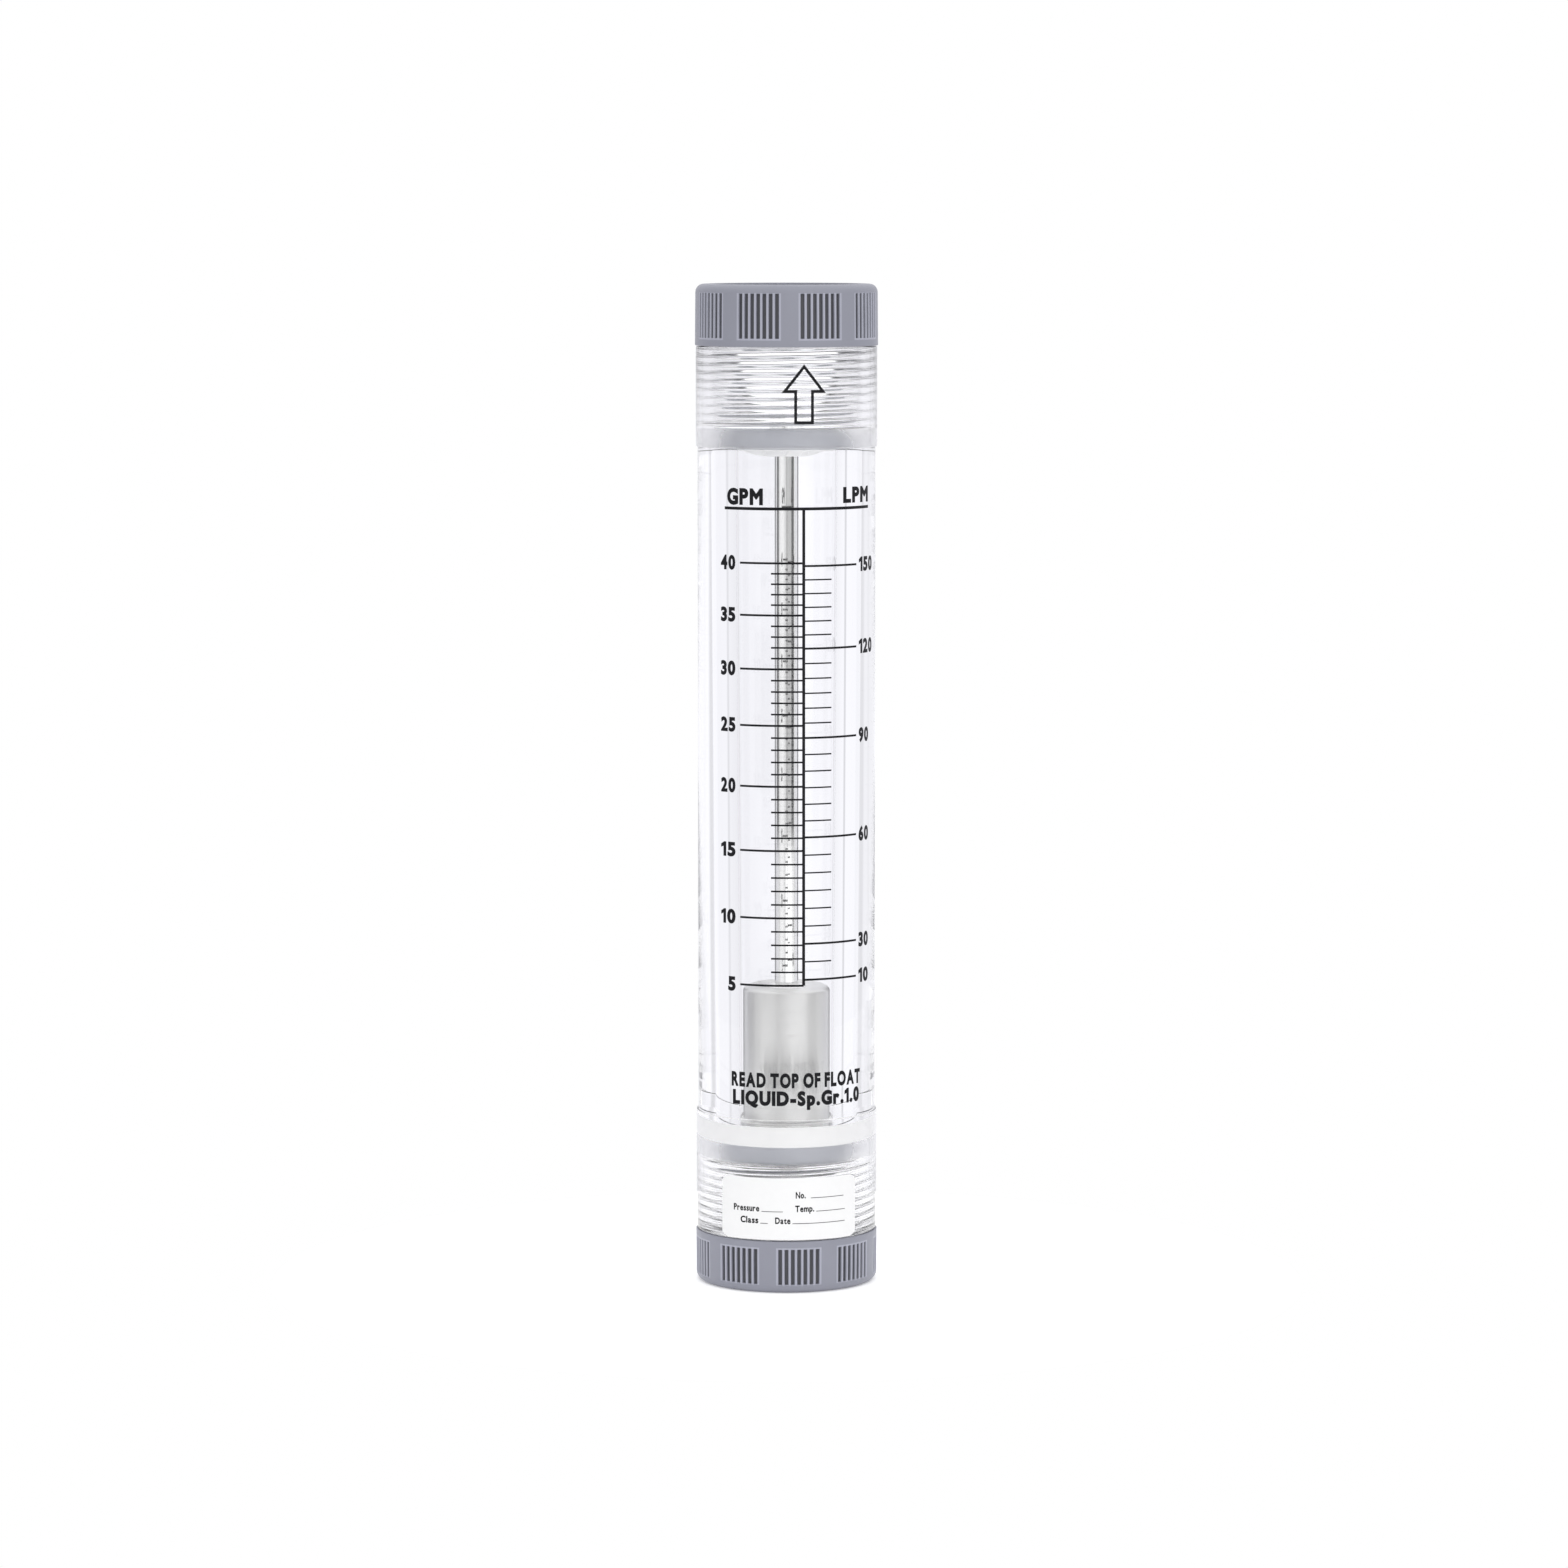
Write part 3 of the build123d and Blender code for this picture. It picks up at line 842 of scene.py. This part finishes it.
def moulded_cap(name, end, turn):
    """An end cap: outline r(z) less the grip's depth, which depends on the angle and the height."""
    size = bpy.context.scene.meter_caps
    angles, share, highlight_columns = grip_columns(size, turn)
    tall = CAP_HEIGHT[end]
    closed = size.radius - tall * math.tan(math.radians(size.draft))
    edge = size.groove_edge
    steps = 7
    outline = rounded(
        [
            (size.mouth, 0, 0.3),
            (closed, 0, size.end_round),
            (size.radius, tall, size.edge_round),
            (size.bore + size.ring_groove, tall, 0),
            (size.bore + size.ring_groove, tall - size.ring_groove, 0),
            (size.bore, tall - size.ring_groove, 0),
            (size.bore, size.flange, 0),
            (size.mouth, size.flange, 0.2),
        ],
        steps=steps,
    )
    split = 2 * steps
    ends = np.array([-0.5, -1 / 6, 1 / 6, 0.5]) * edge
    rim = np.array([edge / 2 + size.grip_rim, edge / 2 + size.grip_rim * 1.5])
    first, last = size.end_round + edge / 2 + 0.02, tall - size.groove_land
    grip_z = np.concatenate([first + ends, [tall / 2], last + ends, last + rim])
    grip_r = closed + (size.radius - closed) * grip_z / tall
    radius = np.concatenate([outline[:split, 0], grip_r, outline[split:, 0]])
    height = np.concatenate([outline[:split, 1], grip_z, outline[split:, 1]])
    along = np.clip(np.minimum(grip_z - first, last - grip_z) / edge + 0.5, 0, 1)
    # The groove share sets the grooves' depth and is also the mask of their painted shade
    groove = np.zeros((len(radius), len(angles)))
    groove[split : split + len(grip_z)] = (along * along * (3 - 2 * along))[:, None] * share
    # land is the mask of the painted highlight on the lands and rims
    land = np.zeros_like(groove)
    land[split : split + len(grip_z) - 1] = highlight_columns
    radius = radius[:, None] - size.groove_depth * groove
    if end == "upper":
        height = OVERALL - height
        radius, height, groove, land = radius[::-1], height[::-1], groove[::-1], land[::-1]
    cap = turned(name, radius, height, angles, sharp_deg=60.0)
    for label, share in (("groove", groove), ("land", land)):
        attribute = cap.data.attributes.new(label, "FLOAT", "POINT")
        attribute.data.foreach_set("value", share.ravel())
    return cap


class MESH_OT_meter_caps(bpy.types.Operator):
    """Moulded end caps with their grouped grip grooves, and the rubber inside them"""

    bl_idname = "mesh.meter_caps"
    bl_label = "End caps"

    def execute(self, context):
        size = context.scene.meter_caps
        for end, turn in (("lower", size.lower_turn), ("upper", size.upper_turn)):
            cap = moulded_cap(f"{end}_moulded_cap", end, turn)
            fit_out(cap, "housing", "grey_abs", "cap_plastic", stands_for=[f"{end}_cap"])
            finish_node(f"{end}_cap_ring", "moulded_rubber")
            finish_node(f"{end}_port_gasket", "moulded_rubber")
        return {"FINISHED"}


class MESH_OT_meter_guides(bpy.types.Operator):
    """Rod guides, stops, washers and nuts inside the ports"""

    bl_idname = "mesh.meter_guides"
    bl_label = "Guides and stops"

    def execute(self, context):
        for end in ("lower", "upper"):
            finish_node(f"{end}_guide", "guide_plastic")
            finish_node(f"{end}_stop", "turned_nylon")
            finish_node(f"{end}_rod_washer", "rod_steel")
            finish_node(f"{end}_rod_nut", "rod_steel")
        return {"FINISHED"}


class MESH_OT_meter_rod(bpy.types.Operator):
    """Ground guide rod with its two studs"""

    bl_idname = "mesh.meter_rod"
    bl_label = "Guide rod"

    def execute(self, context):
        stud, chamfer, edge = 2.5, 0.5, 0.1
        half = [
            (0, ROD_LOW),
            (stud - chamfer, ROD_LOW),
            (stud, ROD_LOW + chamfer),
            (stud, LOWER_GUIDE_HIGH),
            (ROD_RADIUS - edge, LOWER_GUIDE_HIGH),
            (ROD_RADIUS, LOWER_GUIDE_HIGH + edge),
        ]
        levels = np.linspace(LOWER_GUIDE_HIGH, UPPER_GUIDE_LOW, 12)[1:-1]
        other = [(r, ROD_LOW + ROD_HIGH - z) for r, z in half[:3]]
        other += [(r, LOWER_GUIDE_HIGH + UPPER_GUIDE_LOW - z) for r, z in half[3:]]
        outline = np.array(half + [(ROD_RADIUS, z) for z in levels] + other[::-1])
        rod = turned("ground_rod", outline[:, 0], outline[:, 1], full_turn(96), close_rows=False)
        fit_out(rod, "housing", "polished_steel", "rod_steel", stands_for=["guide_rod"])
        return {"FINISHED"}


class MESH_OT_meter_float(bpy.types.Operator):
    """Turned steel float with its two bushes"""

    bl_idname = "mesh.meter_float"
    bl_label = "Float"

    def execute(self, context):
        bore, seat, bush_length = 4.7, 5.57, 6.02
        outline = rounded(
            [
                (seat, FLOAT_LOW, 0.2),
                (FLOAT_RADIUS, FLOAT_LOW, 0.6),
                (FLOAT_RADIUS, FLOAT_HIGH, 0.8),
                (seat, FLOAT_HIGH, 0.25),
                (seat, FLOAT_HIGH - bush_length, 0),
                (bore, FLOAT_HIGH - bush_length, 0),
                (bore, FLOAT_LOW + bush_length, 0),
                (seat, FLOAT_LOW + bush_length, 0),
            ],
            steps=6,
        )
        plug = turned("turned_float", outline[:, 0], outline[:, 1], full_turn(128))
        fit_out(plug, "float", "turned_steel", "float_steel", stands_for=["float"])
        finish_node("lower_float_bush", "turned_nylon")
        finish_node("upper_float_bush", "turned_nylon")
        return {"FINISHED"}


# Words on the label: the text, its middle and its width, the ends of the blank after it,
# and the line's height
LABEL_BLANKS = [
    ("No.", 3.2, 2.9, 6.2, 16.8, 27.8),
    ("Pressure", -13.0, 8.2, -8.2, -2.0, 23.85),
    ("Temp.", 4.4, 5.6, 7.8, 17.3, 23.85),
    ("Class", -12.0, 5.6, -8.6, -6.4, 20.4),
    ("Date", -2.0, 4.4, 0.8, 17.3, 20.4),
]


class MESH_OT_meter_label(bpy.types.Operator):
    """White film label wrapped on the lower collar, with its blanks to fill in"""

    bl_idname = "mesh.meter_label"
    bl_label = "Label"

    def execute(self, context):
        size = context.scene.meter_print
        finish_node("data_label", "satin_film")
        radius = COLLAR_RADIUS + size.label_face
        middle = math.radians(size.label_turn) * radius
        rules = [(middle + s0, middle + s1, z, z + size.label_rule) for *_, s0, s1, z in LABEL_BLANKS]
        printed(wrapped_strips("label_rules", rules, radius, size.ink))
        words = [
            set_words(text, middle + s, z, size.label_text, width, size.letter_weight * size.label_weight)
            for text, s, width, _, _, z in LABEL_BLANKS
        ]
        printed(bent_print("label_words", joined(words), radius, size.ink))
        return {"FINISHED"}


# Long lines of the two scales: reading and height above the lower cap's face, in millimetres
LEFT_READINGS = {5: 89.5, 10: 109.0, 15: 128.4, 20: 146.9, 25: 164.4, 30: 180.6, 35: 196.0, 40: 210.9}
RIGHT_READINGS = {10: 91.2, 30: 101.6, 60: 132.3, 90: 160.9, 120: 186.5, 150: 210.1}


def short_lines(heights, parts):
    """Heights of the short lines that divide each space between long lines into equal parts."""
    shares = np.arange(1, parts) / parts
    return [low + (high - low) * share for low, high in zip(heights, heights[1:]) for share in shares]


# Words on the tube: the text, its middle, its foot, its height and width, and its share of
# the letter weight
SCALE_WORDS = [
    ("GPM", -17.6, 227.4, 4.8, 11.7, 1.0),
    ("LPM", 18.4, 227.8, 4.6, 11.7, 1.0),
    ("READ TOP OF FLOAT", -1.0, 59.8, 4.3, 41.9, 1.0),
    ("LIQUID-Sp.Gr.1.0", -1.0, 54.6, 4.3, 41.0, 1.15),
]
INK_LIFT = 0.005


class MESH_OT_meter_scale(bpy.types.Operator):
    """Printed scale with its lines, figures and words"""

    bl_idname = "mesh.meter_scale"
    bl_label = "Printed scale"

    def execute(self, context):
        size = context.scene.meter_print
        body = COLLAR_RADIUS - context.scene.meter_tube.body_step
        bold = size.letter_weight

        def strip(s0, s1, height, width):
            return (s0, s1, height - width / 2, height + width / 2)

        strips = [
            strip(-size.header_half, size.header_half, size.header_height, size.heavy_line),
            (-size.heavy_line / 2, size.heavy_line / 2, LEFT_READINGS[5], size.header_height),
        ]
        left, right = list(LEFT_READINGS.values()), list(RIGHT_READINGS.values())
        right_short = short_lines(right[1:], 6) + short_lines(right[:2], 2)
        strips += [strip(-size.left_major, 0, z, size.line) for z in left]
        strips += [strip(0, size.right_major, z, size.line) for z in right]
        strips += [strip(-size.left_minor, 0, z, size.left_fine) for z in short_lines(left, 5)]
        strips += [strip(0, size.right_minor, z, size.right_fine) for z in right_short]
        printed(wrapped_strips("scale_lines", strips, body + INK_LIFT, size.ink))

        def figures(reading, height, side):
            width = size.figure_width * len(str(reading))
            reach = size.left_major + size.left_gap if side < 0 else size.right_major + size.right_gap
            centre = side * (reach + width / 2)
            foot = height - size.figure_height / 2
            return set_words(str(reading), centre, foot, size.figure_height, width, bold)

        words = [figures(r, z, -1) for r, z in LEFT_READINGS.items()]
        words += [figures(r, z, 1) for r, z in RIGHT_READINGS.items()]
        words += [set_words(*place, bold * share) for *place, share in SCALE_WORDS]
        printed(bent_print("scale_words", joined(words), body + INK_LIFT, size.ink))

        low, tip = size.arrow_base, size.arrow_base + size.arrow_height
        neck = low + size.arrow_height * size.arrow_neck
        shaft, head = size.arrow_width * size.arrow_shaft / 2, size.arrow_width / 2
        corners = [(-shaft, low), (shaft, low), (shaft, neck), (head, neck)]
        corners += [(0, tip), (-head, neck), (-shaft, neck)]
        outline = drawn_outline(corners, size.heavy_line)
        printed(bent_print("flow_arrow", outline, COLLAR_RADIUS + INK_LIFT, size.ink))
        return {"FINISHED"}


# Brightness of the studio round the meter: degrees from straight behind it, to the
# right of someone at the camera, and the level there
STUDIO = [
    (-180, 1.3), (-172, 1.05), (-163, 0.87), (-158, 0.85), (-152, 1.07), (-124, 1.1), (-116, 0.87),
    (-84, 0.84), (-78, 0.84), (-50, 0.9), (-48, 0.75), (-44, 0.75), (-42, 0.93), (-4, 0.93),
    (4, 0.98), (42, 0.98), (44, 0.7), (48, 0.7), (50, 0.97), (86, 0.86), (100, 0.87),
    (112, 1.05), (128, 1.12), (138, 1.45), (168, 1.5), (176, 1.33), (180, 1.3),
]

# Dark cards round the meter, which only the rod and the float catch inside the tube: how
# far a card reaches above and below the level, and degrees with the share of the light left
CARDS = [
    (0.12, [
        (-180, 0.4), (-173, 0.4), (-171, 1), (-105, 1), (-103, 0.12), (-81, 0.12), (-79, 1),
        (107, 1), (109, 0.02), (133, 0.02), (135, 0.38), (180, 0.4),
    ]),
    (0.35, [
        (-180, 1), (-66, 1), (-62, 0.35), (-40, 0.35), (-36, 1), (-16, 1), (-14, 0.6), (-6, 0.6),
        (-4, 1), (28, 1), (32, 0.3), (60, 0.3), (64, 1), (180, 1),
    ]),
]
CARD_MIDDLE = -0.02
CARD_EDGE = 0.015

# Surfaces that light crosses through the tube's wall to the rod and out again
WALL_CROSSINGS = 4

# The light overhead: where it starts and is full, and its level
SKY_START, SKY_FULL, SKY_LEVEL = 0.35, 0.8, 1.5
STUDIO_BLUE = 0.045


def computed(owner, operation, first, second=0.0):
    """The result of a Math node on sockets or numbers."""
    return add_node(owner, "ShaderNodeMath", {0: first, 1: second}, operation=operation).outputs["Value"]


def level_ramp(owner, place, levels, blue=0.0):
    """Grey levels over the whole turn, from -180 degrees at 0 to 180 at 1, a little blue at the back."""
    ramp = add_node(owner, "ShaderNodeValToRGB", {"Fac": place})
    elements = ramp.color_ramp.elements
    for number, (degrees, level) in enumerate(levels):
        position = (degrees + 180) / 360
        element = elements[number] if number < 2 else elements.new(position)
        element.position = position
        element.color = (level, level, level * (1 + blue * (abs(degrees) < 90)), 1)
    return ramp.outputs["Color"]


def studio_world(strength, azimuth):
    """A studio of soft lights and gaps round the meter, which the camera itself sees as plain white."""
    world = bpy.data.worlds.new("studio")
    world.use_nodes = True
    place = add_node(world, "ShaderNodeTexCoord", {})
    inputs = {"Vector": place.outputs["Generated"], "Angle": -math.radians(azimuth)}
    rotate = add_node(world, "ShaderNodeVectorRotate", inputs, rotation_type="Z_AXIS")
    parts = add_node(world, "ShaderNodeSeparateXYZ", {"Vector": rotate.outputs["Vector"]}).outputs
    path = add_node(world, "ShaderNodeLightPath", {}).outputs
    turn = spread(world, computed(world, "ARCTAN2", parts["X"], parts["Y"]), 0.0, 1.0, -math.pi, math.pi)
    mirrored = computed(world, "GREATER_THAN", path["Glossy Depth"], 0.5)
    inside = computed(world, "GREATER_THAN", path["Transmission Depth"], WALL_CROSSINGS - 0.5)
    caught = computed(world, "MULTIPLY", mirrored, inside)
    apart = computed(world, "ABSOLUTE", computed(world, "ADD", parts["Z"], -CARD_MIDDLE))
    light = level_ramp(world, turn, STUDIO, STUDIO_BLUE)
    for reach, levels in CARDS:
        level = spread(world, apart, 0.0, 1.0, reach, reach - CARD_EDGE)
        cards = level_ramp(world, turn, levels)
        light = mixed(world, computed(world, "MULTIPLY", caught, level), light, cards, "MULTIPLY")
    sky = spread(world, parts["Z"], 0.0, 1.0, SKY_START, SKY_FULL)
    light = mixed(world, sky, light, (SKY_LEVEL, SKY_LEVEL, SKY_LEVEL, 1))
    light = mixed(world, path["Is Camera Ray"], light, (1, 1, 1, 1))
    background = world.node_tree.nodes["Background"]
    background.inputs["Strength"].default_value = strength
    world.node_tree.links.new(light, background.inputs["Color"])
    bpy.context.scene.world = world


class SCENE_OT_meter_stage(bpy.types.Operator):
    """Pale floor, soft studio light and the camera"""

    bl_idname = "scene.meter_stage"
    bl_label = "Stage"

    def execute(self, context):
        scene = context.scene
        stage = scene.meter_stage
        rim = around(1.0, full_turn(96), 0.0) * stage.floor_size / MM / 2
        floor = new_object("floor", rim, [list(range(96))])
        white = (0.93, 0.93, 0.93)
        glow = {"Emission_Strength": stage.floor_glow}
        material = mottled("pale_floor", white, 0.7, change=0.01, grain=(3, 2.0), **glow)
        floor.data.materials.append(material)
        studio_world(stage.backdrop, stage.azimuth)

        middle = (cad_box[0] + cad_box[1]) / 2
        turn, rise = math.radians(stage.azimuth), math.radians(stage.elevation)
        back = Vector((math.sin(turn) * math.cos(rise), -math.cos(turn) * math.cos(rise), math.sin(rise)))
        camera = placed("camera", bpy.data.cameras.new("camera"))
        camera.rotation_mode = "QUATERNION"
        camera.rotation_quaternion = (-back).to_track_quat("-Z", "Y")
        right = camera.rotation_quaternion @ Vector((1, 0, 0))
        up = camera.rotation_quaternion @ Vector((0, 1, 0))
        to_metres = MM / stage.pixels_per_mm
        aim = middle - right * stage.offset_right * to_metres + up * stage.offset_down * to_metres
        camera.location = aim + back * stage.distance
        focal_pixels = stage.pixels_per_mm / MM * stage.distance
        camera.data.lens = focal_pixels / stage.frame_pixels * camera.data.sensor_width
        camera.data.clip_start = 0.01
        camera.data.clip_end = 100
        scene.camera = camera

        scene.view_settings.view_transform = "Standard"
        scene.cycles.max_bounces = 24
        scene.cycles.transmission_bounces = 24
        scene.cycles.glossy_bounces = 10
        scene.cycles.diffuse_bounces = 8
        scene.cycles.transparent_max_bounces = 12
        scene.cycles.use_denoising = True
        return {"FINISHED"}


class VIEW3D_PT_meter(bpy.types.Panel):
    """Settings and steps of the flow meter"""

    bl_label = "Flow meter"
    bl_idname = "VIEW3D_PT_meter"
    bl_space_type = "VIEW_3D"
    bl_region_type = "UI"
    bl_category = "Flow meter"

    def draw(self, context):
        for name in SETTINGS:
            group = getattr(context.scene, name)
            box = self.layout.box()
            for key in group.__annotations__:
                box.prop(group, key)
        for operator in STEPS:
            self.layout.operator(operator.bl_idname)


SETTINGS = {
    "meter_tube": TubeSettings,
    "meter_caps": CapSettings,
    "meter_print": PrintSettings,
    "meter_finish": FinishSettings,
    "meter_stage": StageSettings,
}
STEPS = (
    MESH_OT_meter_tube,
    MESH_OT_meter_caps,
    MESH_OT_meter_guides,
    MESH_OT_meter_rod,
    MESH_OT_meter_float,
    MESH_OT_meter_label,
    MESH_OT_meter_scale,
    SCENE_OT_meter_stage,
)


def register():
    for kind in (*SETTINGS.values(), *STEPS, VIEW3D_PT_meter):
        bpy.utils.register_class(kind)
    for name, group in SETTINGS.items():
        setattr(bpy.types.Scene, name, PointerProperty(type=group))


def unregister():
    for name in SETTINGS:
        delattr(bpy.types.Scene, name)
    for kind in (*SETTINGS.values(), *STEPS, VIEW3D_PT_meter):
        bpy.utils.unregister_class(kind)


def main():
    register()
    bpy.ops.mesh.meter_tube()
    bpy.ops.mesh.meter_caps()
    bpy.ops.mesh.meter_guides()
    bpy.ops.mesh.meter_rod()
    bpy.ops.mesh.meter_float()
    bpy.ops.mesh.meter_label()
    bpy.ops.mesh.meter_scale()
    bpy.ops.scene.meter_stage()


if __name__ == "__main__":
    main()
